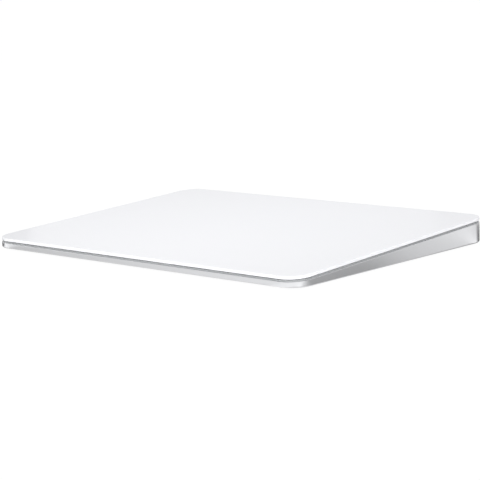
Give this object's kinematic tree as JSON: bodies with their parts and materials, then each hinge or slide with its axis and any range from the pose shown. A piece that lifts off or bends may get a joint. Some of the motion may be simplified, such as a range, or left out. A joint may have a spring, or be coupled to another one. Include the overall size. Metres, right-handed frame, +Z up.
{
  "type": "desk trackpad",
  "caption": "Wedge-shaped desk trackpad: white glass deck on force-sensing spring arms in an aluminium case, with haptic engine, battery, charging port and slide switch.",
  "frame": {"origin": "on the desk, under the middle of the pad's outline", "axes": "+X to the user's right, +Y away from the user to the thick rear edge, +Z up"},
  "size_m": [0.16, 0.115, 0.0109],
  "materials": {
    "white_glass": "satin etched top over a white backing",
    "anodised_aluminium": "bead-blasted and anodised silver",
    "white_plastic": "fine matte",
    "foot_rubber": "matte",
    "gel": "soft translucent gel",
    "seal_foam": "closed-cell foam",
    "sheet_steel": "rolled",
    "screw_steel": "zinc plated",
    "spring_steel": "tempered strip",
    "magnet_iron": "stamped laminations",
    "copper": "enamelled",
    "gold_contact": "plated",
    "circuit_board": "solder mask",
    "chip_black": "moulded",
    "polyimide": "amber film",
    "adhesive": "pressure-sensitive film",
    "battery_pouch": "laminated foil",
    "switch_green": "moulded"
  },
  "bodies": {
    "case": {"case_frame": "anodised_aluminium", "bottom_cover": "white_plastic", "battery_connector": "white_plastic", "flex_connector": "white_plastic", "foot_front_left": "foot_rubber", "foot_front_right": "foot_rubber", "foot_rear_left": "foot_rubber", "foot_rear_right": "foot_rubber", "gel_pad_front_left": "gel", "gel_pad_front_right": "gel", "gel_pad_rear_left": "gel", "gel_pad_rear_right": "gel", "dust_seal": "seal_foam", "haptic_bracket": "sheet_steel", "shield_can": "sheet_steel", "port_shell": "sheet_steel", "port_saddle": "sheet_steel", "slide_switch": "sheet_steel", "haptic_screws": "screw_steel", "logic_board_screws": "screw_steel", "haptic_core_left": "magnet_iron", "haptic_core_right": "magnet_iron", "haptic_coil_left": "copper", "haptic_coil_right": "copper", "antenna": "copper", "port_contacts": "gold_contact", "antenna_contact": "gold_contact", "logic_board": "circuit_board", "battery_board": "circuit_board", "main_controller": "chip_black", "power_chips": "chip_black", "radio_chip": "chip_black", "port_tongue": "chip_black", "battery_flex": "polyimide", "sensor_flex": "polyimide", "cover_adhesive": "adhesive", "battery_adhesive": "adhesive", "battery_cell": "battery_pouch", "switch_liner": "switch_green"},
    "force_mounts": {"flexure_front_left": "spring_steel", "flexure_front_right": "spring_steel", "flexure_rear_left": "spring_steel", "flexure_rear_right": "spring_steel", "strain_gauge_front_left": "polyimide", "strain_gauge_front_right": "polyimide", "strain_gauge_rear_left": "polyimide", "strain_gauge_rear_right": "polyimide"},
    "touch_deck": {"touch_glass": "white_glass", "glass_film": "adhesive", "sensor_board": "circuit_board", "touch_controller": "chip_black", "sensor_connector": "white_plastic", "stiffener_plate": "sheet_steel", "attractor_bar": "magnet_iron", "attractor_screws": "screw_steel", "flexure_screws": "screw_steel"},
    "power_switch": {"switch_knob": "white_plastic", "switch_yoke": "chip_black", "switch_lever": "white_plastic"}
  },
  "joints": [
    {"name": "haptic_shift", "type": "slide", "parent": "case", "child": "force_mounts", "axis": [0, 0.9986, 0.0521], "range_m": [-0.0001, 0.0001], "stiffness_N_per_m": 15000, "deforming": ["sensor_flex", "gel_pad_front_left", "gel_pad_front_right", "gel_pad_rear_left", "gel_pad_rear_right"]},
    {"name": "pad_press", "type": "slide", "parent": "force_mounts", "child": "touch_deck", "axis": [0, 0.0521, -0.9986], "range_m": [0, 0.0002], "stiffness_N_per_m": 15000, "springref_m": -0.00012, "deforming": ["sensor_flex", "flexure_front_left", "flexure_front_right", "flexure_rear_left", "flexure_rear_right", "strain_gauge_front_left", "strain_gauge_front_right", "strain_gauge_rear_left", "strain_gauge_rear_right"]},
    {"name": "switch_slide", "type": "slide", "parent": "case", "child": "power_switch", "axis": [1, 0, 0], "range_m": [0, 0.0024]}
  ]
}
